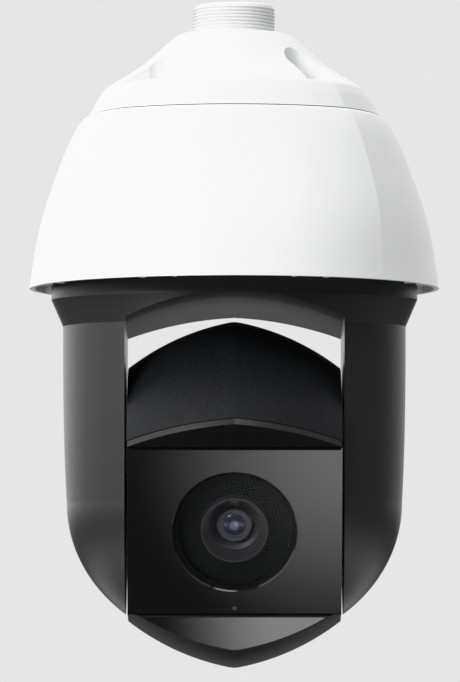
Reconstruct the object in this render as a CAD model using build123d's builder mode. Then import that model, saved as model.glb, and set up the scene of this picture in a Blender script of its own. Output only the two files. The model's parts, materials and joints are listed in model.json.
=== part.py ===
from build123d import *
from math import cos, pi, radians, sin
import os

os.makedirs("parts", exist_ok=True)

# Driving sizes in millimetres and degrees.
# The origin is on the pan axis, at the flat shoulder under the thread. +Z is up and the front is -Y.
THREAD_R = 24.13
THREAD_PITCH = 2
THREAD_CRESTS = 8
THREAD_DEPTH = 1.4
THREAD_START = 1.1
CREST_HALF = 0.25
RELIEF_R = 25
CABLE_BORE_R = 19
GROMMET_BORE_R = 15.5
CAP_BOTTOM = -49.5
SHIELD_TOP = -50.1
SHIELD_RIM = -151.9
SHIELD_WALL = 3
PLATE_TOP = -141
PLATE_BOTTOM = -145.5
YOKE_TOP = -147
YOKE_WALL = 2.5
SLOT_HALF = 64.4
ARM_PLATE_OUT = 68.4
TILT_Z = -274.3
REST_TILT = 20
HEAD_HALF = 62.85
HEAD_R = 101.9
CREST_RISE = 1
CREST_ROUND = 16
HEAD_WALL = 3
PANEL_U = 56.4
PANEL_TOP = 47.4
PANEL_BOTTOM = -56.2
PANEL_THICK = 3
BROW = (76.0, 67.9)
CHIN = (72.4, -71.7)
LENS_V = (PANEL_TOP + PANEL_BOTTOM) / 2
WINDOW_R = 36.2
BEARING_MID_R = 54
BEARING_MID_Z = -139
BALL_R = 2.9
BELT_PITCH = 5
BELT_WIDTH = 6
BELT_THICK = 1.5
PAN_TEETH = 56
TILT_TEETH = 30
MOTOR_TEETH = 12
PAN_BELT_Z = -122
PAN_MOTOR_Y = 62
TILT_BELT_X = 84.6
TILT_MOTOR_Z = TILT_Z + 62
TRUNNION_R = 9
RUN_GAP = 0.05
FIT_GAP = 0.05

# Planes. The optic plane stands at the tilt axis: x is right, y is up the window, z is the line of sight.
sight = Vector(0, -cos(radians(REST_TILT)), -sin(radians(REST_TILT)))
optic = Plane(origin=(0, 0, TILT_Z), x_dir=(1, 0, 0), z_dir=sight)
head_side = Plane(origin=(0, 0, TILT_Z), x_dir=sight, z_dir=(-1, 0, 0))
tilt_plane = Plane(origin=(0, 0, TILT_Z), x_dir=(1, 0, 0), z_dir=(0, -1, 0))
tilt_axis = Axis((0, 0, TILT_Z), (1, 0, 0))
tilt_cross = Plane(origin=(0, 0, TILT_Z), x_dir=(0, 1, 0), z_dir=(1, 0, 0))
lens_plane = Plane(origin=optic.from_local_coords((0, LENS_V, 0)), x_dir=(1, 0, 0), z_dir=sight)


def save(builder, name):
    """Label a finished piece and write its STEP file."""
    builder.part.label = name
    export_step(builder.part, f"parts/{name}.step")


def bulged_square(half, corner):
    """A square outline of four bulged arcs. corner / half is 0.7071 for a true circle."""
    with BuildSketch() as face:
        with BuildLine():
            ThreePointArc((corner, -corner), (half, 0), (corner, corner))
            ThreePointArc((corner, corner), (0, half), (-corner, corner))
            ThreePointArc((-corner, corner), (-half, 0), (-corner, -corner))
            ThreePointArc((-corner, -corner), (0, -half), (corner, -corner))
        make_face()
    return face.sketch


def bulged_loft(sections, inset=0, ruled=False):
    """A solid through bulged squares, each given as height, half width and corner share."""
    with BuildPart() as body:
        for height, half, share in sections:
            with BuildSketch(Plane.XY.offset(height)):
                add(bulged_square(half - inset, share * (half - inset)))
        loft(ruled=ruled)
    return body.part


def ring(inner_r, outer_r, bottom, top, plane=Plane.XY):
    """A plain ring between two offsets of a plane."""
    with BuildPart() as body:
        with BuildSketch(plane.offset(bottom)):
            Circle(outer_r)
            if inner_r > 0:
                Circle(inner_r, mode=Mode.SUBTRACT)
        extrude(amount=top - bottom)
    return body.part


def screws(plane, places, head_r, head_h, shank_r, length):
    """Cap screws that point down a plane's normal, heads above the plane."""
    with BuildPart() as body:
        for place in places:
            with BuildSketch(plane):
                with Locations(place):
                    Circle(head_r)
            extrude(amount=head_h)
            with BuildSketch(plane):
                with Locations(place):
                    Circle(shank_r)
            extrude(amount=-length)
            with BuildSketch(plane.offset(head_h)):
                with Locations(place):
                    RegularPolygon(head_r * 0.5, 6)
            extrude(amount=-head_h * 0.6, mode=Mode.SUBTRACT)
    return body.part


def drawn_in(points, inset):
    """Three points of an arc, moved towards its centre by inset."""
    centre = Edge.make_three_point_arc(*points).arc_center
    return [Vector(*p) + (centre - Vector(*p)).normalized() * inset for p in points]


def polar(radius, angles):
    """Points on a circle at the given angles."""
    return [(radius * cos(radians(a)), radius * sin(radians(a))) for a in angles]


def pulley_r(teeth):
    """Tip radius of a toothed pulley."""
    return teeth * BELT_PITCH / (2 * pi)


def pulley(plane, teeth, bore_r):
    """A toothed pulley with two side flanges, centred on a plane."""
    radius = pulley_r(teeth)
    flange = 1
    reach = BELT_WIDTH / 2 + 0.3
    with BuildPart() as body:
        with BuildSketch(plane.offset(-reach)):
            Circle(radius)
            with PolarLocations(radius, teeth):
                Circle(BELT_PITCH * 0.22, mode=Mode.SUBTRACT)
        extrude(amount=2 * reach)
        for start in (-reach - flange, reach):
            with BuildSketch(plane.offset(start)):
                Circle(radius + 2.4)
            extrude(amount=flange)
        if bore_r > 0:
            with BuildSketch(plane.offset(-reach - flange)):
                Circle(bore_r)
            extrude(amount=2 * (reach + flange), mode=Mode.SUBTRACT)
    return body.part


def belt(plane, far_point, big_r, small_r):
    """A closed belt around two pulleys, the big one at the plane's origin."""
    with BuildPart() as body:
        for grow, mode in ((BELT_THICK + FIT_GAP, Mode.ADD), (FIT_GAP, Mode.SUBTRACT)):
            with BuildSketch(plane.offset(-BELT_WIDTH / 2)):
                Circle(big_r + grow)
                with Locations(far_point):
                    Circle(small_r + grow)
                make_hull()
            extrude(amount=BELT_WIDTH, mode=mode)
    return body.part


# ---------------------------------------------------------------- fixed base

# Sections of the cap and the shield are height, half width and corner share.
CAP_UPPER = [
    (-2, 35.6, 0.7071),
    (-10, 44.8, 0.712),
    (-18.9, 54.8, 0.722),
    (-27.8, 68.6, 0.735),
    (-34.6, 78.1, 0.745),
]
CAP_LOWER = [(-34.6, 78.1, 0.745), (-39.7, 81.7, 0.745), (CAP_BOTTOM, 86.7, 0.745)]
SCREW_AZIMUTHS = (45, 135, 225, 315)
POCKET_FLOOR = -33
CAP_SCREW_R = 57
SCREW_SINK = 5.6
RELIEF_DEPTH = 0.6

# White top cap with the pipe thread, the cable bore and four scooped screw pockets.
with BuildPart() as mount_cap:
    add(bulged_loft(CAP_UPPER))
    add(bulged_loft(CAP_LOWER, ruled=True))
    with BuildSketch(Plane.XZ):
        with BuildLine():
            Polyline((0, -2.5), (0, -RELIEF_DEPTH), (RELIEF_R, -RELIEF_DEPTH), (RELIEF_R, 0), (30.5, 0))
            ThreePointArc((30.5, 0), (33.6, -0.55), (35.6, -2))
            Polyline((35.6, -2), (35.4, -2.5), (0, -2.5))
        make_face()
    revolve(axis=Axis.Z)
    with BuildSketch(Plane.XZ):
        with BuildLine():
            core_r = THREAD_R - THREAD_DEPTH + 0.2
            Polyline((0, -1), (core_r, -1), (core_r, 16.6), (core_r - 1.8, 17.6), (0, 17.6), (0, -1))
        make_face()
    revolve(axis=Axis.Z)
    for crest in range(THREAD_CRESTS):
        middle = THREAD_START + crest * THREAD_PITCH
        with BuildSketch(Plane.XZ):
            Polygon(
                (THREAD_R - THREAD_DEPTH, middle - THREAD_PITCH / 2),
                (THREAD_R, middle - CREST_HALF),
                (THREAD_R, middle + CREST_HALF),
                (THREAD_R - THREAD_DEPTH, middle + THREAD_PITCH / 2),
                align=None,
            )
        revolve(axis=Axis.Z)
    for azimuth in SCREW_AZIMUTHS:
        with BuildSketch(Plane.XY.offset(POCKET_FLOOR).rotated((0, 0, azimuth))):
            with BuildLine():
                Line((100, -24), (72, -15))
                Line((72, -15), (60, -11))
                ThreePointArc((60, -11), (46, 0), (60, 11))
                Line((60, 11), (72, 15))
                Line((72, 15), (100, 24))
                Line((100, 24), (100, -24))
            make_face()
        extrude(amount=40, mode=Mode.SUBTRACT)
    with BuildSketch(Plane.XY.offset(POCKET_FLOOR)):
        with PolarLocations(CAP_SCREW_R, 4, start_angle=45):
            Circle(5.5)
    extrude(amount=-SCREW_SINK, mode=Mode.SUBTRACT)
    with BuildSketch(Plane.XY.offset(CAP_BOTTOM)):
        Circle(74.5)
    extrude(amount=6, mode=Mode.SUBTRACT)
    with BuildSketch(Plane.XY.offset(CAP_BOTTOM)):
        Circle(41)
    extrude(amount=36, mode=Mode.SUBTRACT)
    with BuildSketch(Plane.XY.offset(CAP_BOTTOM)):
        Circle(CABLE_BORE_R)
    extrude(amount=80, mode=Mode.SUBTRACT)
    with BuildSketch(Plane.XY.offset(CAP_BOTTOM)):
        with PolarLocations(CAP_SCREW_R, 4, start_angle=45):
            Circle(3.3)
    extrude(amount=30, mode=Mode.SUBTRACT)
save(mount_cap, "mount_cap")

# Four socket screws in the pockets clamp the cap to the housing.
with BuildPart() as cap_screws:
    sunk = Plane.XY.offset(POCKET_FLOOR - SCREW_SINK)
    add(screws(sunk, polar(CAP_SCREW_R, SCREW_AZIMUTHS), 5, 5, 3, 29.5))
save(cap_screws, "cap_screws")

# Rubber bush that lines the cable bore.
with BuildPart() as cable_grommet:
    add(ring(GROMMET_BORE_R, CABLE_BORE_R - FIT_GAP, -16.5, 4))
    add(ring(GROMMET_BORE_R, 23, -16.5, -13.9))
save(cable_grommet, "cable_grommet")

# White sunshield: a thin bell, nearly square at the top and round at the rim, with clip ribs inside.
SHIELD_BELL = [
    (-51.6, 90.3, 0.745),
    (-63.4, 97.4, 0.745),
    (-81.3, 104.8, 0.743),
    (-105, 112.9, 0.737),
    (-128.8, 118.5, 0.722),
    (SHIELD_RIM, 121.8, 0.7071),
]
SHIELD_SHOULDER = [(SHIELD_TOP, 87.3, 0.745), (-51.6, 90.3, 0.745)]
CLIPS = 8
with BuildPart() as shield_hollow:
    add(bulged_loft(SHIELD_BELL, inset=SHIELD_WALL))
    with BuildSketch(Plane.XY.offset(SHIELD_TOP - SHIELD_WALL)):
        Rectangle(300, 300)
    extrude(amount=20, mode=Mode.SUBTRACT)

with BuildPart() as clip_ribs:
    for clip in range(CLIPS):
        for turn in (-5, 5):
            azimuth = (clip + 0.5) * 360 / CLIPS + turn
            with BuildSketch(Plane.XY.offset(SHIELD_RIM).rotated((0, 0, azimuth))):
                with Locations((117, 0)):
                    Rectangle(9, 1.6)
            extrude(amount=14)
    add(shield_hollow.part, mode=Mode.INTERSECT)

with BuildPart() as sun_shield:
    add(bulged_loft(SHIELD_BELL))
    add(bulged_loft(SHIELD_SHOULDER, ruled=True))
    add(shield_hollow.part, mode=Mode.SUBTRACT)
    with BuildSketch(Plane.XY.offset(SHIELD_TOP)):
        Circle(76)
    extrude(amount=-10, mode=Mode.SUBTRACT)
    add(clip_ribs.part)
save(sun_shield, "sun_shield")

# Die-cast housing under the shield, with bosses for the cap, the main board and the floor plate.
FLOOR_SCREW_R = 96
BOARD_Z = -80
with BuildPart() as base_housing:
    with BuildSketch(Plane.XZ):
        Polygon(
            (24, -51), (73.5, -51), (73.5, -53.1), (84, -53.1), (97, -90), (104, -140.9),
            (100.5, -140.9), (93.5, -90), (81.5, -57.5), (24, -57.5), align=None,
        )
    revolve(axis=Axis.Z)
    with BuildSketch(Plane.XY.offset(-57)):
        with PolarLocations(CAP_SCREW_R, 4, start_angle=45):
            Circle(7)
        with PolarLocations(CAP_SCREW_R, 4):
            Circle(5)
    extrude(amount=BOARD_Z + 57)
    with BuildSketch(Plane.XY.offset(-120)):
        with PolarLocations(FLOOR_SCREW_R + 1, 6, start_angle=30):
            Circle(6)
    extrude(amount=-20.9)
    with BuildSketch(Plane.XY.offset(-50)):
        with PolarLocations(CAP_SCREW_R, 4, start_angle=45):
            Circle(3 + FIT_GAP)
    extrude(amount=-19, mode=Mode.SUBTRACT)
    with BuildSketch(Plane.XY.offset(-140.9)):
        with PolarLocations(FLOOR_SCREW_R, 6, start_angle=30):
            Circle(2 + FIT_GAP)
    extrude(amount=12, mode=Mode.SUBTRACT)
    with BuildSketch(Plane.XY.offset(BOARD_Z)):
        with PolarLocations(CAP_SCREW_R, 4):
            Circle(1.5 + FIT_GAP)
    extrude(amount=10, mode=Mode.SUBTRACT)
save(base_housing, "base_housing")

# Rubber ring between the cap and the housing.
with BuildPart() as cap_seal:
    add(ring(64, 72, -51, CAP_BOTTOM))
    with BuildSketch(Plane.XY.offset(-51)):
        Circle(74)
        Circle(64, mode=Mode.SUBTRACT)
    extrude(amount=0.9, mode=Mode.INTERSECT)
save(cap_seal, "cap_seal")

# Main circuit board, heat sink and network socket.
BOARD_THICK = 1.6
with BuildPart() as main_board:
    add(ring(30, 70, BOARD_Z - BOARD_THICK, BOARD_Z))
    with BuildSketch(Plane.XY.offset(BOARD_Z)):
        with PolarLocations(CAP_SCREW_R, 4):
            Circle(1.7)
        with PolarLocations(CAP_SCREW_R, 4, start_angle=45):
            Circle(7.5)
    extrude(amount=-BOARD_THICK, mode=Mode.SUBTRACT)
save(main_board, "main_board")

with BuildPart() as heat_sink:
    with BuildSketch(Plane.XY.offset(BOARD_Z - BOARD_THICK)):
        with Locations((33, -38)):
            Rectangle(26, 26)
    extrude(amount=-3)
    with BuildSketch(Plane.XY.offset(BOARD_Z - BOARD_THICK - 3)):
        with Locations((33, -38)):
            with GridLocations(5, 0, 5, 1):
                Rectangle(1.6, 26)
    extrude(amount=-9)
save(heat_sink, "heat_sink")

with BuildPart() as network_jack:
    with BuildSketch(Plane.XY.offset(BOARD_Z)):
        with Locations((-38, 12)):
            Rectangle(16, 21)
    extrude(amount=13.5)
    with BuildSketch(Plane.YZ.offset(-30)):
        with Locations((12, BOARD_Z + 6.5)):
            Rectangle(11.7, 7)
    extrude(amount=-12, mode=Mode.SUBTRACT)
save(network_jack, "network_jack")

# Floor plate of the housing. It holds the outer ring of the pan bearing and the chassis pillars.
RACE_OUT_R = 62
RACE_IN_R = 46
RACE_HALF = 5
PILLAR_R = 80
with BuildPart() as base_plate:
    add(ring(57.5, 104, PLATE_BOTTOM, PLATE_TOP))
    add(ring(RACE_OUT_R + FIT_GAP, 66.5, PLATE_TOP, -133))
    add(ring(57.5, RACE_OUT_R + FIT_GAP, -144.1, -133), mode=Mode.SUBTRACT)
    with BuildSketch(Plane.XY.offset(PLATE_BOTTOM)):
        with PolarLocations(FLOOR_SCREW_R, 6, start_angle=30):
            Circle(2.2)
    extrude(amount=5, mode=Mode.SUBTRACT)
    with BuildSketch(Plane.XY.offset(PLATE_BOTTOM)):
        with PolarLocations(FLOOR_SCREW_R, 6, start_angle=30):
            Circle(3.9)
    extrude(amount=2.6, mode=Mode.SUBTRACT)
save(base_plate, "base_plate")

with BuildPart() as base_plate_screws:
    add(screws(Plane.XY.offset(PLATE_BOTTOM + 2.6).rotated((180, 0, 0)),
               polar(FLOOR_SCREW_R, range(30, 390, 60)), 3.6, 2.4, 2, 12))
save(base_plate_screws, "base_plate_screws")

# Thin-section ball bearing of the pan axis: outer ring, inner ring and balls.
ball_groove = Plane.XZ.offset(0)
for label, inner_r, outer_r in (
    ("pan_bearing_outer", BEARING_MID_R + 2, RACE_OUT_R),
    ("pan_bearing_inner", RACE_IN_R, BEARING_MID_R - 2),
):
    with BuildPart() as race:
        add(ring(inner_r, outer_r, BEARING_MID_Z - RACE_HALF, BEARING_MID_Z + RACE_HALF))
        with BuildSketch(ball_groove):
            with Locations((BEARING_MID_R, BEARING_MID_Z)):
                Circle(BALL_R + 0.1)
        revolve(axis=Axis.Z, mode=Mode.SUBTRACT)
    save(race, label)

with BuildPart() as pan_bearing_balls:
    for x, y in polar(BEARING_MID_R, range(0, 360, 15)):
        with Locations((x, y, BEARING_MID_Z)):
            Sphere(BALL_R)
save(pan_bearing_balls, "pan_bearing_balls")

# Chassis plate on four pillars. It carries the pan motor and the fixed half of the slip ring.
CHASSIS_TOP = -100
CHASSIS_THICK = 3
with BuildPart() as chassis_plate:
    add(ring(20.2, 86, CHASSIS_TOP - CHASSIS_THICK, CHASSIS_TOP))
    with BuildSketch(Plane.XY.offset(CHASSIS_TOP)):
        with Locations((0, PAN_MOTOR_Y)):
            Circle(6)
    extrude(amount=-CHASSIS_THICK, mode=Mode.SUBTRACT)
save(chassis_plate, "chassis_plate")

with BuildPart() as chassis_pillars:
    with BuildSketch(Plane.XY.offset(PLATE_TOP)):
        with PolarLocations(PILLAR_R, 4, start_angle=45):
            RegularPolygon(4.5, 6)
    extrude(amount=CHASSIS_TOP - CHASSIS_THICK - PLATE_TOP)
save(chassis_pillars, "chassis_pillars")

SLIP_R = 16
with BuildPart() as slip_ring_stator:
    add(ring(SLIP_R + RUN_GAP, 20, -114, CHASSIS_TOP))
    add(ring(SLIP_R + RUN_GAP, 28, CHASSIS_TOP, CHASSIS_TOP + 3))
save(slip_ring_stator, "slip_ring_stator")

with BuildPart() as pan_motor:
    with BuildSketch(Plane.XY.offset(CHASSIS_TOP)):
        with Locations((0, PAN_MOTOR_Y)):
            RectangleRounded(35, 35, 4)
    extrude(amount=14)
    with BuildSketch(Plane.XY.offset(CHASSIS_TOP)):
        with Locations((0, PAN_MOTOR_Y)):
            Circle(2.5 + RUN_GAP)
    extrude(amount=12, mode=Mode.SUBTRACT)
save(pan_motor, "pan_motor")

# Motor pulley of the pan drive, in one piece with its shaft.
pan_motor_plane = Plane(origin=(0, PAN_MOTOR_Y, PAN_BELT_Z))
with BuildPart() as pan_motor_pulley:
    add(pulley(pan_motor_plane, MOTOR_TEETH, 0))
    with BuildSketch(pan_motor_plane):
        Circle(2.5)
    extrude(amount=CHASSIS_TOP + 10 - PAN_BELT_Z)
save(pan_motor_pulley, "pan_motor_pulley")

with BuildPart() as pan_belt:
    add(belt(Plane.XY.offset(PAN_BELT_Z), (0, PAN_MOTOR_Y), pulley_r(PAN_TEETH), pulley_r(MOTOR_TEETH)))
save(pan_belt, "pan_belt")

# ---------------------------------------------------------------- yoke, turns on the pan axis

HUB_BORE = 12
with BuildPart() as pan_pulley:
    add(pulley(Plane.XY.offset(PAN_BELT_Z), PAN_TEETH, HUB_BORE))
save(pan_pulley, "pan_pulley")

PULLEY_BOTTOM = PAN_BELT_Z - BELT_WIDTH / 2 - 1.3
PULLEY_TOP = PAN_BELT_Z + BELT_WIDTH / 2 + 1.3
with BuildPart() as pan_hub:
    add(ring(HUB_BORE, RACE_IN_R - FIT_GAP, YOKE_TOP, PULLEY_BOTTOM))
    add(ring(HUB_BORE, 50, BEARING_MID_Z + RACE_HALF + FIT_GAP, PULLEY_BOTTOM))
save(pan_hub, "pan_hub")

with BuildPart() as slip_ring_rotor:
    add(ring(HUB_BORE, SLIP_R, PULLEY_TOP, CHASSIS_TOP + 2))
save(slip_ring_rotor, "slip_ring_rotor")

with BuildPart() as neck_seal:
    add(ring(62, 66, YOKE_TOP, PLATE_BOTTOM - 0.1))
save(neck_seal, "neck_seal")

# Sections of the yoke are height and the two half widths.
NECK = (108.9, 72)
NECK_BOTTOM = -158.5
YOKE_FLARE = [(NECK_BOTTOM, *NECK), (-174.5, 101.9, 71.3)]
YOKE_ARMS = [(-174.5, 101.9, 71.3), (-215, 101.7, 71.2), (-253.5, 100.8, 70.8), (-279.3, 99.6, 70.4)]
KNEE_DEEP = 86.6


def ellipse_loft(sections, inset, ruled=False):
    """A solid through ellipses, drawn in by inset."""
    with BuildPart() as stretch:
        for height, half_x, half_y in sections:
            with BuildSketch(Plane.XY.offset(height)):
                Ellipse(half_x - inset, half_y - inset)
        loft(ruled=ruled)
    return stretch.part


def knee(inset):
    """The lower half of an ellipsoid, which rounds off the lower ends of the arms."""
    height, half_x, half_y = YOKE_ARMS[-1]
    deep = KNEE_DEEP - inset
    with BuildPart() as lower:
        Sphere(deep)
        with BuildSketch(Plane.XY):
            Rectangle(300, 300)
        extrude(amount=200, mode=Mode.SUBTRACT)
        scale(by=((half_x - inset) / deep, (half_y - inset) / deep, 1))
    return lower.part.moved(Location((0, 0, height)))


def yoke_form(inset):
    """The outer form of the yoke before the slot is cut, drawn in by inset."""
    with BuildPart() as form:
        with BuildSketch(Plane.XY.offset(YOKE_TOP)):
            Ellipse(NECK[0] - inset, NECK[1] - inset)
        extrude(amount=NECK_BOTTOM - YOKE_TOP)
        add(ellipse_loft(YOKE_FLARE, inset, ruled=True))
        add(ellipse_loft(YOKE_ARMS, inset))
        add(knee(inset))
    return form.part


def arch(apex, side):
    """The pointed arch outline of the slot between the arms."""
    middle = (apex + side) / 2 + (apex - side) * 0.17
    with BuildSketch() as outline:
        with BuildLine():
            Polyline((-SLOT_HALF, side), (-SLOT_HALF, -400), (SLOT_HALF, -400), (SLOT_HALF, side))
            ThreePointArc((SLOT_HALF, side), (35, middle), (0, apex))
            ThreePointArc((0, apex), (-35, middle), (-SLOT_HALF, side))
        make_face()
    return outline.sketch


# Space between the arms: level at the front, falling to a lip at the back.
ARCH_FRONT = (-156.2, -171.8)
ARCH_BACK = (-165, -180.9)
with BuildPart() as slot:
    with BuildSketch(Plane.XZ):
        add(arch(*ARCH_FRONT))
    extrude(amount=120)
    with BuildSketch(Plane.XZ):
        add(arch(*ARCH_FRONT))
    with BuildSketch(Plane.XZ.offset(-75)):
        add(arch(*ARCH_BACK))
    loft(ruled=True)

COVER_SCREW_ANGLES = (20, 40, 140, 160, 200, 220, 320, 340)
COVER_SCREWS = [(100 * cos(radians(a)), 63 * sin(radians(a))) for a in COVER_SCREW_ANGLES]
yoke_outside = yoke_form(0)
yoke_inside = yoke_form(YOKE_WALL)
frame_room = yoke_form(YOKE_WALL + 0.2)
BUSH_R = 12
DRIVE_BOARD_X = 74
ARM_BOSS_OUT = 77

# Cast frame of the yoke: top plate, arched bridge and the two inner arm plates with bearing bosses.
with BuildPart() as yoke_frame:
    add(frame_room)
    add(slot.part, mode=Mode.SUBTRACT)
    for side in (-1, 1):
        with BuildSketch(Plane.XY.offset(YOKE_TOP - 4)):
            with Locations((side * (ARM_PLATE_OUT + 50), 0)):
                Rectangle(100, 200)
        extrude(amount=-250, mode=Mode.SUBTRACT)
        with BuildSketch(tilt_cross.offset(side * ARM_PLATE_OUT)):
            Circle(18)
        extrude(amount=side * (ARM_BOSS_OUT - ARM_PLATE_OUT))
        with BuildSketch(tilt_cross.offset(side * 60)):
            Circle(BUSH_R + FIT_GAP)
        extrude(amount=side * 40, mode=Mode.SUBTRACT)
    with BuildSketch(Plane.YZ.offset(-ARM_PLATE_OUT)):
        with Locations((0, -215)):
            with GridLocations(60, 40, 2, 2):
                Circle(2.5)
    extrude(amount=ARM_PLATE_OUT - DRIVE_BOARD_X)
    with BuildSketch(Plane.XY.offset(YOKE_TOP)):
        with Locations(*COVER_SCREWS):
            Circle(3.1)
    extrude(amount=-2, mode=Mode.SUBTRACT)
    with BuildSketch(Plane.XY.offset(YOKE_TOP)):
        with Locations(*COVER_SCREWS):
            Circle(1.6)
    extrude(amount=-4, mode=Mode.SUBTRACT)
save(yoke_frame, "yoke_frame")

# The outer walls belong to two covers that part on the pan axis, each with a screw flange at the top.
with BuildPart() as top_flange:
    with BuildSketch(Plane.XY.offset(YOKE_TOP - 4.1)):
        Ellipse(NECK[0] - 1, NECK[1] - 1)
        Ellipse(NECK[0] - 14, NECK[1] - 14, mode=Mode.SUBTRACT)
        Rectangle(2 * ARM_PLATE_OUT + 0.6, 200, mode=Mode.SUBTRACT)
    extrude(amount=-5)
    with BuildSketch(Plane.XY.offset(YOKE_TOP - 4.1)):
        with Locations(*COVER_SCREWS):
            Circle(1.5 + FIT_GAP)
    extrude(amount=-5, mode=Mode.SUBTRACT)

with BuildPart() as cover_pair:
    add(yoke_outside)
    add(yoke_inside, mode=Mode.SUBTRACT)
    add(top_flange.part)
    add(slot.part, mode=Mode.SUBTRACT)

for side, name in ((-1, "yoke_cover_left"), (1, "yoke_cover_right")):
    with BuildPart() as cover:
        with BuildSketch(Plane.YZ.offset(side * 0.15)):
            with Locations((0, -250)):
                Rectangle(300, 300)
        extrude(amount=side * 150)
        add(cover_pair.part, mode=Mode.INTERSECT)
    save(cover, name)

with BuildPart() as cover_screws:
    add(screws(Plane.XY.offset(YOKE_TOP - 2), COVER_SCREWS, 2.9, 1.9, 1.5, 6.5))
save(cover_screws, "cover_screws")

# Plain flanged bushes for the two trunnions, one in each arm.
BUSH_BACK = 15
with BuildPart() as tilt_bushes:
    for side in (-1, 1):
        bush_runs = ((64.8, ARM_BOSS_OUT - 63.8, BUSH_R), (ARM_BOSS_OUT + FIT_GAP, 1.2, BUSH_BACK))
        for start, reach, outer_r in bush_runs:
            with BuildSketch(tilt_cross.offset(side * start)):
                Circle(outer_r)
                Circle(TRUNNION_R + RUN_GAP, mode=Mode.SUBTRACT)
            extrude(amount=side * reach)
save(tilt_bushes, "tilt_bushes")

# Tilt motor on the right arm plate, its pulley and the tilt belt.
motor_cross = Plane(origin=(0, 0, TILT_MOTOR_Z), x_dir=(0, 1, 0), z_dir=(1, 0, 0))
with BuildPart() as tilt_motor:
    with BuildSketch(motor_cross.offset(ARM_PLATE_OUT + FIT_GAP)):
        RectangleRounded(35, 35, 4)
    extrude(amount=11)
    with BuildSketch(motor_cross.offset(ARM_PLATE_OUT + 2)):
        Circle(2.5 + RUN_GAP)
    extrude(amount=15, mode=Mode.SUBTRACT)
save(tilt_motor, "tilt_motor")

with BuildPart() as tilt_motor_pulley:
    add(pulley(motor_cross.offset(TILT_BELT_X), MOTOR_TEETH, 0))
    with BuildSketch(motor_cross.offset(TILT_BELT_X)):
        Circle(2.5)
    extrude(amount=ARM_PLATE_OUT + 3 - TILT_BELT_X)
save(tilt_motor_pulley, "tilt_motor_pulley")

with BuildPart() as tilt_belt:
    motor_place = (0, TILT_MOTOR_Z - TILT_Z)
    add(belt(tilt_cross.offset(TILT_BELT_X), motor_place, pulley_r(TILT_TEETH), pulley_r(MOTOR_TEETH)))
save(tilt_belt, "tilt_belt")

# Motor driver board inside the left arm.
with BuildPart() as drive_board:
    with BuildSketch(Plane.YZ.offset(-DRIVE_BOARD_X)):
        with Locations((0, -215)):
            RectangleRounded(70, 50, 3)
    extrude(amount=-BOARD_THICK)
    with BuildSketch(Plane.YZ.offset(-DRIVE_BOARD_X - BOARD_THICK)):
        with Locations((-14, -215), (14, -209)):
            Rectangle(12, 14)
    extrude(amount=-3)
save(drive_board, "drive_board")

# ---------------------------------------------------------------- head, turns on the tilt axis


def head_form(inset):
    """Body of revolution about the tilt axis with a pointed profile, a rounded crest and flat sides."""
    right = drawn_in([(HEAD_HALF, 75.1), (38.2, 90.5), (0, HEAD_R + CREST_RISE)], inset)
    left = drawn_in([(0, HEAD_R + CREST_RISE), (-38.2, 90.5), (-HEAD_HALF, 75.1)], inset)
    crest = Vector(0, right[2].Y)
    with BuildPart() as form:
        with BuildSketch(tilt_plane) as profile:
            with BuildLine():
                ThreePointArc(right[0], right[1], crest)
                ThreePointArc(crest, left[1], left[2])
                Polyline(left[2], (left[2].X, 0), (right[0].X, 0), right[0])
            make_face()
            fillet(profile.vertices().sort_by(Axis.Y)[-1], CREST_ROUND)
        revolve(axis=tilt_axis)
        with BuildSketch(tilt_cross.offset(-(HEAD_HALF - inset))):
            Circle(120)
        extrude(amount=2 * (HEAD_HALF - inset), mode=Mode.INTERSECT)
    return form.part


def mouth(back):
    """The space in front of the window between brow and chin, grown by back."""
    brow_run = Vector(BROW[0] - PANEL_U, BROW[1] - PANEL_TOP)
    chin_run = Vector(CHIN[0] - PANEL_U, CHIN[1] - PANEL_BOTTOM)
    top = Vector(PANEL_U - back, PANEL_TOP + back * 0.4)
    bottom = Vector(PANEL_U - back, PANEL_BOTTOM - back * 0.4)
    with BuildPart() as space:
        with BuildSketch(head_side):
            with BuildLine():
                Polyline(top, bottom, bottom + chin_run * 4, top + brow_run * 4, top)
            make_face()
        extrude(amount=HEAD_HALF + 5, both=True)
    return space.part


def facet_plane(start, tip):
    """A plane on a flat face of the mouth, from the front plate's edge. Its y runs back from the tip."""
    run = sight * (tip[0] - PANEL_U) + optic.y_dir * (tip[1] - start)
    return Plane(
        origin=optic.from_local_coords((0, start, PANEL_U)),
        x_dir=(1, 0, 0),
        z_dir=run.cross(Vector(1, 0, 0)),
    )


def facet_slab(plane, gap, bottom, top, rim, side):
    """A flat slab on a facet, a gap away from the front plate and a rim inside the head's outline."""
    with BuildPart() as slab:
        with BuildSketch(plane.offset(bottom)):
            with Locations((0, -gap)):
                Rectangle(2 * side, 60, align=(Align.CENTER, Align.MAX))
        extrude(amount=top - bottom)
        add(head_form(rim), mode=Mode.INTERSECT)
    return slab.part


brow_plane = facet_plane(PANEL_TOP, BROW)
chin_plane = facet_plane(PANEL_BOTTOM, CHIN)
LAMPS = [(x * 14.4, -5.6) for x in (-2.5, -1.5, -0.5, 0.5, 1.5, 2.5)]
LAMP_R = 2.4
CHIN_GAP = 0.8
CHIN_RIM = 0.8
CHIN_HALF = 58
TRIM_THICK = 3.6
TRIM_STEP = 0.5
TRIM_GAP = 0.3
PLATE_GAP = 0.6
SPLIT_U = -20

with BuildPart() as head_hollow:
    add(head_form(HEAD_WALL))
    add(mouth(TRIM_THICK + HEAD_WALL), mode=Mode.SUBTRACT)

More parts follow.
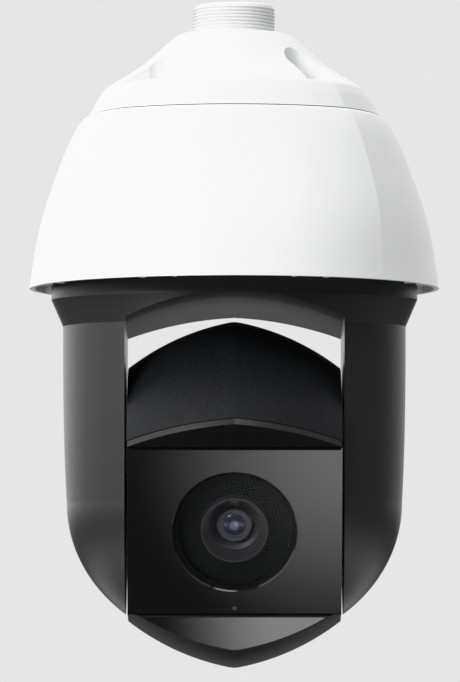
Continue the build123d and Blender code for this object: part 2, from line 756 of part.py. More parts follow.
# The head's wall, open at the window and recessed for the brow trim, the front plate and the chin window.
with BuildPart() as head_casing:
    add(head_form(0))
    add(mouth(0), mode=Mode.SUBTRACT)
    add(head_hollow.part, mode=Mode.SUBTRACT)
    with BuildSketch(optic.offset(PANEL_U - PANEL_THICK)):
        with Locations((0, LENS_V + PLATE_GAP / 2)):
            Rectangle(150, PANEL_TOP - PANEL_BOTTOM + PLATE_GAP)
    extrude(amount=50, mode=Mode.SUBTRACT)
    with BuildSketch(lens_plane.offset(PANEL_U - PANEL_THICK)):
        Circle(WINDOW_R - 3)
    extrude(amount=-TRIM_THICK - HEAD_WALL, mode=Mode.SUBTRACT)
    add(facet_slab(brow_plane, 0, -1, TRIM_THICK + TRIM_GAP, -3, HEAD_HALF + 1), mode=Mode.SUBTRACT)
    add(facet_slab(chin_plane, CHIN_GAP, -2.4, 5, CHIN_RIM, CHIN_HALF + 0.2), mode=Mode.SUBTRACT)
    with BuildSketch(chin_plane):
        with Locations(*LAMPS):
            Circle(LAMP_R + 0.3)
    extrude(amount=-8, mode=Mode.SUBTRACT)
    with BuildSketch(tilt_cross.offset(-80)):
        Circle(TRUNNION_R + 0.2)
    extrude(amount=160, mode=Mode.SUBTRACT)

head_halves = (("head_front_shell", SPLIT_U + 0.5, 150), ("head_rear_shell", SPLIT_U - 0.5, -150))
for name, start, reach in head_halves:
    with BuildPart() as shell:
        with BuildSketch(optic.offset(start)):
            Rectangle(300, 300)
        extrude(amount=reach)
        add(head_casing.part, mode=Mode.INTERSECT)
    save(shell, name)

# Smooth trim under the brow, from its edge back to the front plate.
with BuildPart() as brow_trim:
    add(facet_slab(brow_plane, PLATE_GAP, 0, TRIM_THICK, TRIM_STEP, HEAD_HALF - TRIM_GAP))
save(brow_trim, "brow_trim")

with BuildPart() as head_seal:
    with BuildSketch(optic.offset(SPLIT_U - 0.5)):
        Rectangle(300, 300)
    extrude(amount=1)
    add(head_form(0.8), mode=Mode.INTERSECT)
    add(head_form(HEAD_WALL - 0.3), mode=Mode.SUBTRACT)
save(head_seal, "head_seal")

# Glossy front plate with the round window opening and two small sensor ports.
PORTS = [(0, PANEL_TOP - LENS_V - 4.3), (0, PANEL_BOTTOM - LENS_V + 4.6)]
PORT_R = 1.25
PLATE_CHAMFER = 1.2
WINDOW_CHAMFER = 0.7
sight_axis = Axis(lens_plane.origin, sight)
with BuildPart() as front_plate:
    with BuildSketch(lens_plane.offset(PANEL_U - PANEL_THICK)):
        Rectangle(2 * HEAD_HALF, PANEL_TOP - PANEL_BOTTOM - PLATE_GAP)
    extrude(amount=PANEL_THICK)
    chamfer(front_plate.edges().filter_by(Axis.X).group_by(sight_axis)[-1], PLATE_CHAMFER)
    with BuildSketch(lens_plane.offset(PANEL_U)):
        Circle(WINDOW_R)
    extrude(amount=-PANEL_THICK, mode=Mode.SUBTRACT)
    chamfer(front_plate.edges().filter_by(GeomType.CIRCLE).group_by(sight_axis)[-1], WINDOW_CHAMFER)
    with BuildSketch(lens_plane.offset(PANEL_U)):
        with Locations(*PORTS):
            Circle(PORT_R + FIT_GAP)
    extrude(amount=-PANEL_THICK, mode=Mode.SUBTRACT)
save(front_plate, "front_plate")

with BuildPart() as sensor_ports:
    with BuildSketch(lens_plane.offset(PANEL_U - PANEL_THICK)):
        with Locations(*PORTS):
            Circle(PORT_R)
    extrude(amount=PANEL_THICK - 0.3)
save(sensor_ports, "sensor_ports")

GLASS_THICK = 1.6
with BuildPart() as window_glass:
    add(ring(0, WINDOW_R - 0.1, PANEL_U - PANEL_THICK, PANEL_U - PANEL_THICK + GLASS_THICK, lens_plane))
save(window_glass, "window_glass")

# Camera module behind the window: mask, barrel, ribbed hood, front lens, moving cells, rods and sensor.
# Lengths along the line of sight are counted from the tilt axis, as for the front plate.
BARREL_R = 18.4
BARREL_FRONT = 40
BARREL_BACK = -6
BORE_R = 16.5
HOOD_R = 19.8
HOOD_FRONT = 53
MASK_FRONT = 46.4
with BuildPart() as lens_mask:
    add(ring(HOOD_R + 0.2, 44, MASK_FRONT - 1.5, MASK_FRONT, lens_plane))
    add(head_form(HEAD_WALL + 0.2), mode=Mode.INTERSECT)
save(lens_mask, "lens_mask")

with BuildPart() as lens_barrel:
    add(ring(BORE_R, BARREL_R, BARREL_BACK, BARREL_FRONT, lens_plane))
    add(ring(5, BARREL_R, BARREL_BACK, BARREL_BACK + 3, lens_plane))
save(lens_barrel, "lens_barrel")

# Ribbed hood on the barrel. Its ribs narrow back to a sloping face with a notch, around the bezel.
lens_section = Plane(origin=lens_plane.origin, x_dir=(1, 0, 0), z_dir=Vector(1, 0, 0).cross(sight))
HOOD_BACK = 37
HOOD_RIBS = 5
RIB_DEPTH = 0.5
MOUTH_R = 18.6
FACE_R = 15.2
FACE_U = 43
THROAT_R = 10.7
THROAT_U = 39.2
NOTCH_WIDE = 4.8
rib_long = (HOOD_FRONT - FACE_U) / HOOD_RIBS
hood_outline = [
    (THROAT_R, HOOD_BACK),
    (BORE_R - FIT_GAP, HOOD_BACK),
    (BORE_R - FIT_GAP, BARREL_FRONT + FIT_GAP),
    (HOOD_R, BARREL_FRONT + FIT_GAP),
    (HOOD_R, HOOD_FRONT),
]
for rib in range(HOOD_RIBS):
    ridge_r = MOUTH_R - (MOUTH_R - FACE_R) * rib / HOOD_RIBS
    start = HOOD_FRONT - rib * rib_long
    hood_outline += [(ridge_r, start), (ridge_r, start - rib_long / 2)]
    groove_r = ridge_r + RIB_DEPTH
    hood_outline += [(groove_r, start - rib_long / 2), (groove_r, start - rib_long)]
hood_outline += [(FACE_R, FACE_U), (THROAT_R, THROAT_U)]
with BuildPart() as lens_hood:
    with BuildSketch(lens_section):
        with BuildLine():
            Polyline(*hood_outline, close=True)
        make_face()
    revolve(axis=sight_axis)
    with BuildSketch(lens_plane.offset(THROAT_U + 0.4)):
        with Locations((0, (FACE_R + THROAT_R) / 2)):
            Rectangle(NOTCH_WIDE, FACE_R - THROAT_R)
    extrude(amount=FACE_U - THROAT_U, mode=Mode.SUBTRACT)
save(lens_hood, "lens_hood")

BEZEL_BACK = 34
BEZEL_FRONT = 43.8
BEZEL_R = 9.8
BEZEL_BORE_R = 6.6
with BuildPart() as lens_bezel:
    add(ring(BEZEL_BORE_R, BORE_R - FIT_GAP, BEZEL_BACK, HOOD_BACK, lens_plane))
    add(ring(BEZEL_BORE_R, BEZEL_R, HOOD_BACK, BEZEL_FRONT - 0.8, lens_plane))
    add(ring(BEZEL_BORE_R + 1.2, BEZEL_R, BEZEL_FRONT - 0.8, BEZEL_FRONT, lens_plane))
save(lens_bezel, "lens_bezel")

GLASS_R = BEZEL_BORE_R - FIT_GAP
GLASS_RIM = BEZEL_FRONT - 0.8
GLASS_BULGE = 1.7
glass_sphere_r = (GLASS_R**2 + GLASS_BULGE**2) / (2 * GLASS_BULGE)
glass_centre = lens_plane.from_local_coords((0, 0, GLASS_RIM + GLASS_BULGE - glass_sphere_r))
with BuildPart() as front_lens:
    add(ring(0, GLASS_R, GLASS_RIM - 3, GLASS_RIM + GLASS_BULGE + 1, lens_plane))
    with Locations(Plane(origin=glass_centre, z_dir=sight)):
        Sphere(glass_sphere_r, mode=Mode.INTERSECT)
save(front_lens, "front_lens")

ROD_R = 1.2
ROD_PLACES = [(-12.5, 0), (12.5, 0)]
with BuildPart() as guide_rods:
    with BuildSketch(lens_plane.offset(BARREL_BACK + 3)):
        with Locations(*ROD_PLACES):
            Circle(ROD_R)
    extrude(amount=BEZEL_BACK - BARREL_BACK - 3 - 0.1)
save(guide_rods, "guide_rods")

ZOOM_START = 16
FOCUS_START = 5
CELL_LONG = 5
for label, start in (("zoom", ZOOM_START), ("focus", FOCUS_START)):
    with BuildPart() as cell:
        with BuildSketch(lens_plane.offset(start)):
            Circle(15.5)
            Circle(7, mode=Mode.SUBTRACT)
            with Locations(*ROD_PLACES):
                Circle(ROD_R + RUN_GAP, mode=Mode.SUBTRACT)
        extrude(amount=CELL_LONG)
    save(cell, f"{label}_cell")
    with BuildPart() as inner_lens:
        add(ring(0, 7 - FIT_GAP, start + 1, start + CELL_LONG - 1, lens_plane))
        cap_centre = lens_plane.from_local_coords((0, 0, start + CELL_LONG - 1))
        with Locations(Plane(origin=cap_centre, z_dir=sight)):
            Cylinder(5, 1.4)
    save(inner_lens, f"{label}_lens")

with BuildPart() as sensor_board:
    with BuildSketch(lens_plane.offset(BARREL_BACK - 2)):
        RectangleRounded(34, 34, 2)
    extrude(amount=1.9)
    with BuildSketch(lens_plane.offset(BARREL_BACK - 0.1)):
        Rectangle(6, 5)
    extrude(amount=1.2)
save(sensor_board, "sensor_board")

# Cradle under the barrel, fixed to the bosses of the front shell.
with BuildPart() as camera_bracket:
    with BuildSketch(lens_plane.offset(2)):
        with Locations((0, -BARREL_R - 3.2)):
            Rectangle(100, 4)
        with Locations((0, -BARREL_R - 0.6)):
            Rectangle(20, 4)
        Circle(BARREL_R + FIT_GAP, mode=Mode.SUBTRACT)
    extrude(amount=28)
save(camera_bracket, "camera_bracket")

# Glossy infrared window on the chin, with the lamp board and lamps behind it.
with BuildPart() as chin_window:
    add(facet_slab(chin_plane, CHIN_GAP, -2.3, -0.3, CHIN_RIM + 0.2, CHIN_HALF))
save(chin_window, "chin_window")

with BuildPart() as lamp_board:
    with BuildSketch(chin_plane.offset(-8)):
        with Locations((0, -4.6)):
            Rectangle(84, 7.4)
    extrude(amount=1.5)
    add(head_form(HEAD_WALL + 0.3), mode=Mode.INTERSECT)
save(lamp_board, "lamp_board")

with BuildPart() as lamps:
    with BuildSketch(chin_plane.offset(-6.5)):
        with Locations(*LAMPS):
            Circle(LAMP_R)
    extrude(amount=3.9)
save(lamps, "lamps")

# Hollow trunnions, flanged inside the head. The right one carries the tilt pulley.
TRUNNION_BORE = 5
for side, name, end in ((-1, "trunnion_left", 81), (1, "trunnion_right", 90)):
    with BuildPart() as trunnion:
        for start, outer_r, stop in ((57, 16, HEAD_HALF - HEAD_WALL - FIT_GAP), (57, TRUNNION_R, end)):
            with BuildSketch(tilt_cross.offset(side * start)):
                Circle(outer_r)
                Circle(TRUNNION_BORE, mode=Mode.SUBTRACT)
            extrude(amount=side * (stop - start))
    save(trunnion, name)

with BuildPart() as shaft_seals:
    for side in (-1, 1):
        with BuildSketch(tilt_cross.offset(side * (HEAD_HALF + FIT_GAP))):
            Circle(14)
            Circle(TRUNNION_R + FIT_GAP, mode=Mode.SUBTRACT)
        extrude(amount=side * 1.3)
save(shaft_seals, "shaft_seals")

with BuildPart() as tilt_pulley:
    add(pulley(tilt_cross.offset(TILT_BELT_X), TILT_TEETH, TRUNNION_R))
save(tilt_pulley, "tilt_pulley")

# Cable from the driver board down the left arm and through the hollow trunnion.
CABLE_R = 3
CABLE_X = 88
BEND = 8
with BuildPart() as tilt_cable:
    with BuildLine():
        FilletPolyline((-52, 0, TILT_Z), (-CABLE_X, 0, TILT_Z), (-CABLE_X, 0, -215), radius=BEND)
    with BuildSketch(Plane(origin=(-52, 0, TILT_Z), z_dir=(-1, 0, 0))):
        Circle(CABLE_R)
    sweep()
save(tilt_cable, "tilt_cable")
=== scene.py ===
import json
import math

import bpy
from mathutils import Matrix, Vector


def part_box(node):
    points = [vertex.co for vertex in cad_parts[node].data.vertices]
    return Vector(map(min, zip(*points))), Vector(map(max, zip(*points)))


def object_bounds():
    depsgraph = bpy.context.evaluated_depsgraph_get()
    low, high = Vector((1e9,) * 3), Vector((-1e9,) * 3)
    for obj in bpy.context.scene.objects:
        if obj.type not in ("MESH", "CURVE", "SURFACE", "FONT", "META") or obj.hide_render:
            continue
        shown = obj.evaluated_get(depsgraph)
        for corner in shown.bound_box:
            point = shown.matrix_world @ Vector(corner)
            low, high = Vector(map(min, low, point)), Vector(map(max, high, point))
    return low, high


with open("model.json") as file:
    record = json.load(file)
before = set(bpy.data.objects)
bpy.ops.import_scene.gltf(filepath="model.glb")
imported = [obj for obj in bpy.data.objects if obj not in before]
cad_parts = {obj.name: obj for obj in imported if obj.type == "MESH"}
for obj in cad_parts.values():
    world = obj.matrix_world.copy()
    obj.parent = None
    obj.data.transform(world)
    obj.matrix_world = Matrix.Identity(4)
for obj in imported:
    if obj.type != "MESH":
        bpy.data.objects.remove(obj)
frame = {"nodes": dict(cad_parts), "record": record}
cad_low, cad_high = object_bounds()

# Lengths are in metres and powers in watts. Grain, blotch and smudge sizes are noise scales per metre.

# The lens axis points this far below level at rest.
REST_TILT = math.radians(20)
# Edges that turn by more than this stay sharp.
SMOOTH_ANGLE = math.radians(28)

# Finishes: how far roughness varies with the grain, and the window of noise that the speckle spreads over.
ROUGH_VARIATION = 0.15
SPECKLE_FROM, SPECKLE_TO = 0.35, 0.65
COAT_ROUGHNESS = 0.1
SMUDGE_SCALE = 60.0
SMUDGE_ROUGHNESS = 0.03

# Front lens: painted reflections. Colours from the middle out, as shares of the glass radius: a lighter middle
# stands in for the inner elements and pupil seen through the glass, with darker rings round it.
LENS_RADIUS = 0.0066
LENS_ROUGHNESS = 0.06
LENS_IOR = 1.6
LENS_HAZE_SCALE = 700.0
LENS_HAZE = 0.05
LENS_PAINTED_RINGS = [
    (0.0, (0.2, 0.215, 0.27, 1)),
    (0.36, (0.17, 0.185, 0.235, 1)),
    (0.5, (0.03, 0.037, 0.078, 1)),
    (0.72, (0.024, 0.03, 0.062, 1)),
    (0.86, (0.04, 0.046, 0.078, 1)),
    (1.0, (0.02, 0.02, 0.026, 1)),
]

# Floor: painted light and shade. What it sends back to the object, against the distance from its middle as a
# share of FLOOR_RANGE: dark under the object as painted shadow, a bright painted ring round it, and dark
# further out.
# How pale the camera sees it near the middle and far from it: painted shade near the middle evens out the
# lamps' light on it.
FLOOR_DROP = 0.3
FLOOR_HALF = 12.0
FLOOR_RANGE = 2.5
FLOOR_PAINTED_BOUNCE = [(0.14, 0.05), (0.26, 1.0), (0.36, 0.85), (0.46, 0.15), (1.0, 0.05)]
FLOOR_NEAR, FLOOR_FAR = 1.5, 5.0
FLOOR_NEAR_PAINTED_SHADE = 0.68

# Surroundings: light levels by direction. BACKDROP is what the camera sees.
BACKDROP = 0.79
SIDE_LEFT = 0.9
SIDE_RIGHT = 0.13
FRONT_SHARE = 0.25
BELOW_SHARE = 0.15
TOP_LIGHT = 0.85
BACK_GLOW = 0.85
LEFT_GLOW = 0.9

# Lamps.
KEY_PLACE = (-1.6, -2.3, 0.8)
KEY_SIZE = (1.4, 1.4)
KEY_POWER = 66
FILL_PLACE = (2.7, 0, 0.1)
FILL_SIZE = (1.2, 1.6)
FILL_POWER = 11.5

# Cards that shine in the front plate and in the chin window.
CARD_SIZE = 0.5
PLATE_CARD_AWAY = 0.45
PLATE_CARD_LEVEL = 3.2
PLATE_CARD_BRIGHT_AT = (-0.075, 0.07, 0)
PLATE_CARD_FADE = (0.0, 0.15)
CHIN_MIRROR = (0, -0.58, 0.81)
CHIN_CARD_AWAY = 0.5
CHIN_CARD_LEVEL = 5.0
CHIN_CARD_BRIGHT_AT = (-0.09, 0, 0)
CHIN_CARD_FADE = (0.06, 0.14)

# Tone curve: light level in the scene against the level shown.
WHITE_LEVEL = 1.6
ROLL_OFF = [(0.82, 0.82), (0.95, 0.905), (1.15, 0.95), (1.6, 0.97)]

# Camera: its place and pitch, and its film width and focal length in millimetres.
CAMERA_BACK = 3.267
CAMERA_Z = -0.3723
CAMERA_X = -0.0026
CAMERA_PITCH = 3.32
FILM_WIDTH = 36
FOCAL_LENGTH = 290.3

# ---------------------------------------------------------------- materials


def add_node(tree, kind, **inputs):
    """A shader node with its inputs set by name."""
    node = tree.nodes.new(kind)
    for name, value in inputs.items():
        node.inputs[name.replace("_", " ")].default_value = value
    return node


def finish(name, colour, rough, metallic=0.0, grain=900.0, bump=0.1, spread=0.08, blotch=12.0,
           fine=0.0003, specular=0.5, coat=0.0, stretch=None, speckle=0.0):
    """A procedural finish: fine grain in bump and roughness, and slow colour variation.

    grain and blotch are noise scales per metre, fine is the grain's height in metres.
    """
    material = bpy.data.materials.new(name)
    material.use_nodes = True
    tree = material.node_tree
    shader = tree.nodes["Principled BSDF"]
    shader.inputs["Metallic"].default_value = metallic
    shader.inputs["Specular IOR Level"].default_value = specular
    shader.inputs["Coat Weight"].default_value = coat
    shader.inputs["Coat Roughness"].default_value = COAT_ROUGHNESS
    place = tree.nodes.new("ShaderNodeTexCoord")
    source = place.outputs["Object"]
    if stretch:
        mapping = add_node(tree, "ShaderNodeMapping", Scale=stretch)
        tree.links.new(source, mapping.inputs["Vector"])
        source = mapping.outputs["Vector"]
    grains = add_node(tree, "ShaderNodeTexNoise", Scale=grain, Detail=4.0, Roughness=0.6)
    clouds = add_node(tree, "ShaderNodeTexNoise", Scale=blotch, Detail=3.0, Roughness=0.5)
    tree.links.new(source, grains.inputs["Vector"])
    tree.links.new(place.outputs["Object"], clouds.inputs["Vector"])

    tint = tree.nodes.new("ShaderNodeMix")
    tint.data_type = "RGBA"
    dark = [c * (1 - spread) for c in colour]
    light = [min(1.0, c * (1 + spread)) for c in colour]
    tint.inputs["A"].default_value = (*dark, 1)
    tint.inputs["B"].default_value = (*light, 1)
    tree.links.new(clouds.outputs["Fac"], tint.inputs["Factor"])
    speck = add_node(
        tree, "ShaderNodeMapRange",
        From_Min=SPECKLE_FROM, From_Max=SPECKLE_TO, To_Min=1 - speckle, To_Max=1 + speckle,
    )
    tree.links.new(grains.outputs["Fac"], speck.inputs["Value"])
    tinted = tree.nodes.new("ShaderNodeVectorMath")
    tinted.operation = "SCALE"
    tree.links.new(tint.outputs["Result"], tinted.inputs[0])
    tree.links.new(speck.outputs["Result"], tinted.inputs["Scale"])
    tree.links.new(tinted.outputs["Vector"], shader.inputs["Base Color"])

    rough_map = add_node(
        tree, "ShaderNodeMapRange",
        To_Min=rough * (1 - ROUGH_VARIATION), To_Max=min(1.0, rough * (1 + ROUGH_VARIATION)),
    )
    tree.links.new(grains.outputs["Fac"], rough_map.inputs["Value"])
    tree.links.new(rough_map.outputs["Result"], shader.inputs["Roughness"])

    relief = add_node(tree, "ShaderNodeBump", Strength=bump, Distance=fine)
    tree.links.new(grains.outputs["Fac"], relief.inputs["Height"])
    tree.links.new(relief.outputs["Normal"], shader.inputs["Normal"])
    return material


def clear(name, colour, rough, ior):
    """A see-through finish with faint smudges. It lets light through, so what is behind it shows."""
    material = bpy.data.materials.new(name)
    material.use_nodes = True
    tree = material.node_tree
    tree.nodes.remove(tree.nodes["Principled BSDF"])
    place = tree.nodes.new("ShaderNodeTexCoord")
    smudge = add_node(tree, "ShaderNodeTexNoise", Scale=SMUDGE_SCALE, Detail=3.0)
    tree.links.new(place.outputs["Object"], smudge.inputs["Vector"])
    rough_map = add_node(tree, "ShaderNodeMapRange", To_Min=rough, To_Max=rough + SMUDGE_ROUGHNESS)
    tree.links.new(smudge.outputs["Fac"], rough_map.inputs["Value"])
    through = add_node(tree, "ShaderNodeBsdfTransparent", Color=(*colour, 1))
    gloss = add_node(tree, "ShaderNodeBsdfGlossy", Color=(1, 1, 1, 1))
    tree.links.new(rough_map.outputs["Result"], gloss.inputs["Roughness"])
    fresnel = add_node(tree, "ShaderNodeFresnel", IOR=ior)
    mix = tree.nodes.new("ShaderNodeMixShader")
    tree.links.new(fresnel.outputs["Fac"], mix.inputs["Fac"])
    tree.links.new(through.outputs["BSDF"], mix.inputs[1])
    tree.links.new(gloss.outputs["BSDF"], mix.inputs[2])
    tree.links.new(mix.outputs["Shader"], tree.nodes["Material Output"].inputs["Surface"])
    return material


def lens_with_painted_reflections(name, centre, axis, radius):
    """Optics with painted reflections: rings of colour about the axis stand in for the inner elements seen in
    the glass, under a glossy surface.
    """
    material = bpy.data.materials.new(name)
    material.use_nodes = True
    tree = material.node_tree
    shader = tree.nodes["Principled BSDF"]
    place = tree.nodes.new("ShaderNodeTexCoord")
    offset = add_node(tree, "ShaderNodeVectorMath")
    offset.operation = "SUBTRACT"
    offset.inputs[1].default_value = centre
    tree.links.new(place.outputs["Object"], offset.inputs[0])
    across = add_node(tree, "ShaderNodeVectorMath")
    across.operation = "CROSS_PRODUCT"
    across.inputs[1].default_value = axis
    tree.links.new(offset.outputs["Vector"], across.inputs[0])
    away = add_node(tree, "ShaderNodeVectorMath")
    away.operation = "LENGTH"
    tree.links.new(across.outputs["Vector"], away.inputs[0])
    haze = add_node(tree, "ShaderNodeTexNoise", Scale=LENS_HAZE_SCALE, Detail=2.0)
    tree.links.new(place.outputs["Object"], haze.inputs["Vector"])
    share = add_node(tree, "ShaderNodeMath")
    share.operation = "MULTIPLY_ADD"
    share.inputs[1].default_value = 1 / radius
    tree.links.new(away.outputs["Value"], share.inputs[0])
    wobble = add_node(tree, "ShaderNodeMapRange", To_Min=-LENS_HAZE, To_Max=LENS_HAZE)
    tree.links.new(haze.outputs["Fac"], wobble.inputs["Value"])
    tree.links.new(wobble.outputs["Result"], share.inputs[2])
    # Painted reflections: a lighter middle and darker rings take the place of the inner elements seen through
    # the glass.
    rings = tree.nodes.new("ShaderNodeValToRGB")
    set_stops(rings, LENS_PAINTED_RINGS)
    tree.links.new(share.outputs["Value"], rings.inputs["Fac"])
    tree.links.new(rings.outputs["Color"], shader.inputs["Base Color"])
    shader.inputs["Roughness"].default_value = LENS_ROUGHNESS
    shader.inputs["IOR"].default_value = LENS_IOR
    return material


def set_stops(ramp, stops):
    """Fill a colour ramp from a list of positions and colours."""
    elements = ramp.color_ramp.elements
    elements[0].position, elements[1].position = stops[0][0], stops[-1][0]
    for position, _ in stops[1:-1]:
        elements.new(position)
    for element, (_, colour) in zip(elements, stops):
        element.color = colour


lens_low, lens_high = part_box("front_lens")
lens_middle = (lens_low + lens_high) / 2
lens_axis = Vector((0, -math.cos(REST_TILT), -math.sin(REST_TILT)))

FINISHES = {
    "white_paint": finish("white_paint", (0.83, 0.84, 0.835), 0.42, grain=1400, bump=0.25, spread=0.01),
    "white_plastic": finish("white_plastic", (0.83, 0.84, 0.835), 0.4, grain=1600, bump=0.35, spread=0.012),
    "yoke_paint": finish("yoke_paint", (0.0108, 0.0113, 0.0124), 0.38, grain=1300, bump=0.12, spread=0.06,
                         speckle=0.12),
    "head_paint": finish("head_paint", (0.0068, 0.0074, 0.0092), 0.55, grain=1100, bump=0.55, spread=0.12,
                         specular=0.17, speckle=0.85),
    "cast_aluminium": finish("cast_aluminium", (0.55, 0.56, 0.58), 0.45, metallic=1.0, grain=700, bump=0.4),
    "steel": finish("steel", (0.5, 0.51, 0.53), 0.32, metallic=1.0, grain=500, bump=0.15, stretch=(1, 1, 12)),
    "bearing_steel": finish("bearing_steel", (0.66, 0.67, 0.69), 0.15, metallic=1.0, grain=300, bump=0.05),
    "rubber": finish("rubber", (0.014, 0.014, 0.015), 0.75, grain=1200, bump=0.4, spread=0.2),
    "board": finish("board", (0.012, 0.09, 0.04), 0.35, grain=400, bump=0.3, spread=0.25, blotch=90, coat=0.3),
    "bronze": finish("bronze", (0.5, 0.33, 0.14), 0.35, metallic=1.0, grain=800, bump=0.25, spread=0.15),
    "black_plastic": finish("black_plastic", (0.0072, 0.0085, 0.008), 0.6, grain=60, bump=0.01, spread=0.1,
                            fine=0.0001, specular=0.15),
    "hood_plastic": finish("hood_plastic", (0.035, 0.035, 0.038), 0.45, grain=800, bump=0.03, fine=0.0001),
    "gloss_black": finish("gloss_black", (0.008, 0.008, 0.0081), 0.06, grain=60, bump=0.01, spread=0.1,
                          fine=0.0001),
    "trim_plastic": finish("trim_plastic", (0.0095, 0.0095, 0.01), 0.36, grain=2200, spread=0.06,
                           specular=0.3),
    "grey_plastic": finish("grey_plastic", (0.058, 0.061, 0.072), 0.3, grain=1500, bump=0.15),
    "clear_glass": clear("clear_glass", (0.93, 0.93, 0.94), 0.02, 1.12),
    "lens_glass": lens_with_painted_reflections("lens_glass", lens_middle, lens_axis, LENS_RADIUS),
}

slots = {s["node"]: s["material_slot"] for s in frame["record"]["subparts"]}
for name, node in frame["nodes"].items():
    node.data.materials.clear()
    node.data.materials.append(FINISHES[slots[name]])
    node.data.shade_smooth()
    node.data.set_sharp_from_angle(angle=SMOOTH_ANGLE)

# ---------------------------------------------------------------- studio


def flat_sheet(name, half, height=0.0):
    """A square sheet in the XY plane, as an object in the scene."""
    mesh = bpy.data.meshes.new(name)
    corners = [(-half, -half, height), (half, -half, height), (half, half, height), (-half, half, height)]
    mesh.from_pydata(corners, [], [(0, 1, 2, 3)])
    sheet = bpy.data.objects.new(name, mesh)
    bpy.context.scene.collection.objects.link(sheet)
    return sheet


def floor_with_painted_shade(floor_z):
    """Pale floor with painted light and shade. What it sends back to the object is set by the distance from
    it: dark under the object as painted shadow, a bright painted ring, and dark further out.

    The camera sees it evenly pale, with painted shade near the middle that evens out the lamps' light, and
    sees through it from below.
    """
    material = finish("floor_grey_painted_shade", (0.8, 0.8, 0.8), 0.9, grain=30, bump=0.02, spread=0.01, blotch=1)
    tree = material.node_tree
    shader = tree.nodes["Principled BSDF"]
    place = tree.nodes.new("ShaderNodeTexCoord")
    away = add_node(tree, "ShaderNodeVectorMath")
    away.operation = "DISTANCE"
    away.inputs[1].default_value = (0, 0, floor_z)
    tree.links.new(place.outputs["Object"], away.inputs[0])

    # Painted shade: the floor is darker near the middle, so the lamps' light on it looks even to the camera.
    near_painted_shade = add_node(
        tree, "ShaderNodeMapRange",
        From_Min=FLOOR_NEAR, From_Max=FLOOR_FAR, To_Min=FLOOR_NEAR_PAINTED_SHADE, To_Max=1.0,
    )
    tree.links.new(away.outputs["Value"], near_painted_shade.inputs["Value"])
    near_shaded_colour = tree.nodes.new("ShaderNodeVectorMath")
    near_shaded_colour.operation = "SCALE"
    tree.links.new(shader.inputs["Base Color"].links[0].from_socket, near_shaded_colour.inputs[0])
    tree.links.new(near_painted_shade.outputs["Result"], near_shaded_colour.inputs["Scale"])
    tree.links.new(near_shaded_colour.outputs["Vector"], shader.inputs["Base Color"])

    # Painted shadow and light in what reaches the object: dark under it, a bright ring round it, and dark
    # further out.
    part_way = add_node(tree, "ShaderNodeMapRange", From_Max=FLOOR_RANGE)
    tree.links.new(away.outputs["Value"], part_way.inputs["Value"])
    share = tree.nodes.new("ShaderNodeValToRGB")
    set_stops(share, [(position, (level, level, level, 1)) for position, level in FLOOR_PAINTED_BOUNCE])
    tree.links.new(part_way.outputs["Result"], share.inputs["Fac"])
    dim = tree.nodes.new("ShaderNodeBsdfDiffuse")
    tree.links.new(share.outputs["Color"], dim.inputs["Color"])

    path = tree.nodes.new("ShaderNodeLightPath")
    seen = tree.nodes.new("ShaderNodeMixShader")
    tree.links.new(path.outputs["Is Camera Ray"], seen.inputs["Fac"])
    tree.links.new(dim.outputs["BSDF"], seen.inputs[1])
    tree.links.new(shader.outputs["BSDF"], seen.inputs[2])
    side = tree.nodes.new("ShaderNodeNewGeometry")
    through = tree.nodes.new("ShaderNodeBsdfTransparent")
    both = tree.nodes.new("ShaderNodeMixShader")
    tree.links.new(side.outputs["Backfacing"], both.inputs["Fac"])
    tree.links.new(seen.outputs["Shader"], both.inputs[1])
    tree.links.new(through.outputs["BSDF"], both.inputs[2])
    tree.links.new(both.outputs["Shader"], tree.nodes["Material Output"].inputs["Surface"])
    return material


def world_light():
    """Soft studio surroundings: bright above and to the left, dim to the right, in front and below.

    Reflections also show a glow behind and to the left. The camera sees an even pale grey instead.
    """
    world = bpy.data.worlds.new("studio")
    bpy.context.scene.world = world
    world.use_nodes = True
    tree = world.node_tree
    lit = tree.nodes["Background"]
    place = tree.nodes.new("ShaderNodeTexCoord")
    split = tree.nodes.new("ShaderNodeSeparateXYZ")
    tree.links.new(place.outputs["Generated"], split.inputs["Vector"])

    def ramp(axis, low, high, at_low, at_high):
        node = add_node(tree, "ShaderNodeMapRange", From_Min=low, From_Max=high, To_Min=at_low, To_Max=at_high)
        node.interpolation_type = "SMOOTHSTEP"
        tree.links.new(split.outputs[axis], node.inputs["Value"])
        return node.outputs["Result"]

    def combine(operation, a, b):
        node = tree.nodes.new("ShaderNodeMath")
        node.operation = operation
        tree.links.new(a, node.inputs[0])
        tree.links.new(b, node.inputs[1])
        return node.outputs["Value"]

    sideways = ramp("X", -0.9, 0.7, SIDE_LEFT, SIDE_RIGHT)
    facing = ramp("Y", -0.9, 0.1, FRONT_SHARE, 1.0)
    rising = ramp("Z", -0.7, 0.1, BELOW_SHARE, 1.0)
    top = ramp("Z", 0.1, 0.75, 0.0, TOP_LIGHT)
    path = tree.nodes.new("ShaderNodeLightPath")
    glow = combine("ADD", ramp("Y", 0.2, 0.8, 0.0, BACK_GLOW), ramp("X", -0.9, -0.2, LEFT_GLOW, 0.0))
    glow = combine("MULTIPLY", glow, path.outputs["Is Glossy Ray"])
    level = combine("ADD", combine("MULTIPLY", sideways, facing), glow)
    level = combine("MULTIPLY", level, rising)
    tree.links.new(combine("ADD", level, top), lit.inputs["Strength"])
    lit.inputs["Color"].default_value = (1, 1, 1, 1)

    seen = add_node(tree, "ShaderNodeBackground", Color=(BACKDROP, BACKDROP, BACKDROP, 1), Strength=1.0)
    mix = tree.nodes.new("ShaderNodeMixShader")
    tree.links.new(path.outputs["Is Camera Ray"], mix.inputs["Fac"])
    tree.links.new(lit.outputs["Background"], mix.inputs[1])
    tree.links.new(seen.outputs["Background"], mix.inputs[2])
    tree.links.new(mix.outputs["Shader"], tree.nodes["World Output"].inputs["Surface"])


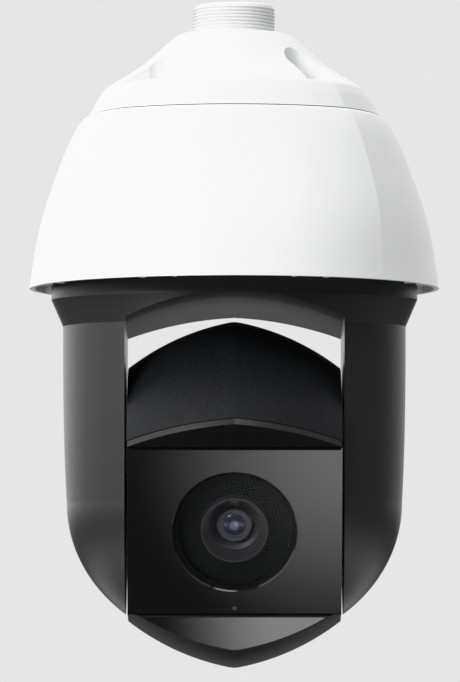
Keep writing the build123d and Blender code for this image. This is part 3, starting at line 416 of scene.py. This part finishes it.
def area_light(name, place, target, size, power):
    """A soft rectangular studio light that faces the target."""
    data = bpy.data.lights.new(name, "AREA")
    data.shape = "RECTANGLE"
    data.size, data.size_y = size
    data.energy = power
    lamp = bpy.data.objects.new(name, data)
    lamp.location = place
    lamp.rotation_euler = (Vector(target) - Vector(place)).to_track_quat("-Z", "Y").to_euler()
    bpy.context.scene.collection.objects.link(lamp)
    return lamp


def light_card(name, node, mirror, away, level, bright_at, fade_over):
    """A glowing card that only shows in reflections, away from the node's middle along mirror.

    It is brightest within the first distance of fade_over from bright_at, and dark past the second.
    """
    node_low, node_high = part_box(node)
    card = flat_sheet(name, CARD_SIZE / 2)
    card.location = (node_low + node_high) / 2 + mirror * away
    card.rotation_euler = (-mirror).to_track_quat("Z", "Y").to_euler()
    card.visible_camera = card.visible_diffuse = card.visible_shadow = card.visible_transmission = False
    material = bpy.data.materials.new(name)
    material.use_nodes = True
    tree = material.node_tree
    tree.nodes.remove(tree.nodes["Principled BSDF"])
    place = tree.nodes.new("ShaderNodeTexCoord")
    offset = add_node(tree, "ShaderNodeVectorMath")
    offset.operation = "DISTANCE"
    offset.inputs[1].default_value = bright_at
    tree.links.new(place.outputs["Object"], offset.inputs[0])
    fade = add_node(
        tree, "ShaderNodeMapRange",
        From_Min=fade_over[0], From_Max=fade_over[1], To_Min=level, To_Max=0.0,
    )
    fade.interpolation_type = "SMOOTHSTEP"
    tree.links.new(offset.outputs["Value"], fade.inputs["Value"])
    glow = tree.nodes.new("ShaderNodeEmission")
    tree.links.new(fade.outputs["Result"], glow.inputs["Strength"])
    tree.links.new(glow.outputs["Emission"], tree.nodes["Material Output"].inputs["Surface"])
    card.data.materials.append(material)


floor_z = cad_low.z - FLOOR_DROP
floor = flat_sheet("studio_floor", FLOOR_HALF, floor_z)
floor.data.materials.append(floor_with_painted_shade(floor_z))

world_light()

middle = (cad_low + cad_high) / 2
area_light("key", KEY_PLACE, middle, KEY_SIZE, KEY_POWER)
side_fill = area_light("side_fill", FILL_PLACE, middle, FILL_SIZE, FILL_POWER)
side_fill.visible_glossy = False

# Seen from the front, a level line of sight leaves the front plate along this direction.
plate_mirror = Vector((0, -math.cos(2 * REST_TILT), -math.sin(2 * REST_TILT)))
light_card("plate_card", "front_plate", plate_mirror, PLATE_CARD_AWAY, PLATE_CARD_LEVEL,
           PLATE_CARD_BRIGHT_AT, PLATE_CARD_FADE)
light_card("chin_card", "chin_window", Vector(CHIN_MIRROR), CHIN_CARD_AWAY, CHIN_CARD_LEVEL,
           CHIN_CARD_BRIGHT_AT, CHIN_CARD_FADE)

# The whites roll off towards a soft limit instead of clipping. Everything darker is left as it is.
view = bpy.context.scene.view_settings
view.view_transform = "Standard"
view.use_curve_mapping = True
view.curve_mapping.white_level = (WHITE_LEVEL, WHITE_LEVEL, WHITE_LEVEL)
roll_off = view.curve_mapping.curves[3]
for level, shown in ROLL_OFF[:-1]:
    roll_off.points.new(level / WHITE_LEVEL, shown)
roll_off.points[-1].location = (1.0, ROLL_OFF[-1][1])
for point in roll_off.points:
    point.handle_type = "VECTOR"
view.curve_mapping.update()

# ---------------------------------------------------------------- camera

lens_data = bpy.data.cameras.new("camera")
lens_data.sensor_width = FILM_WIDTH
lens_data.lens = FOCAL_LENGTH
camera = bpy.data.objects.new("camera", lens_data)
camera.location = (CAMERA_X, -CAMERA_BACK, CAMERA_Z)
camera.rotation_euler = (math.radians(90 + CAMERA_PITCH), 0, 0)
bpy.context.scene.collection.objects.link(camera)
bpy.context.scene.camera = camera
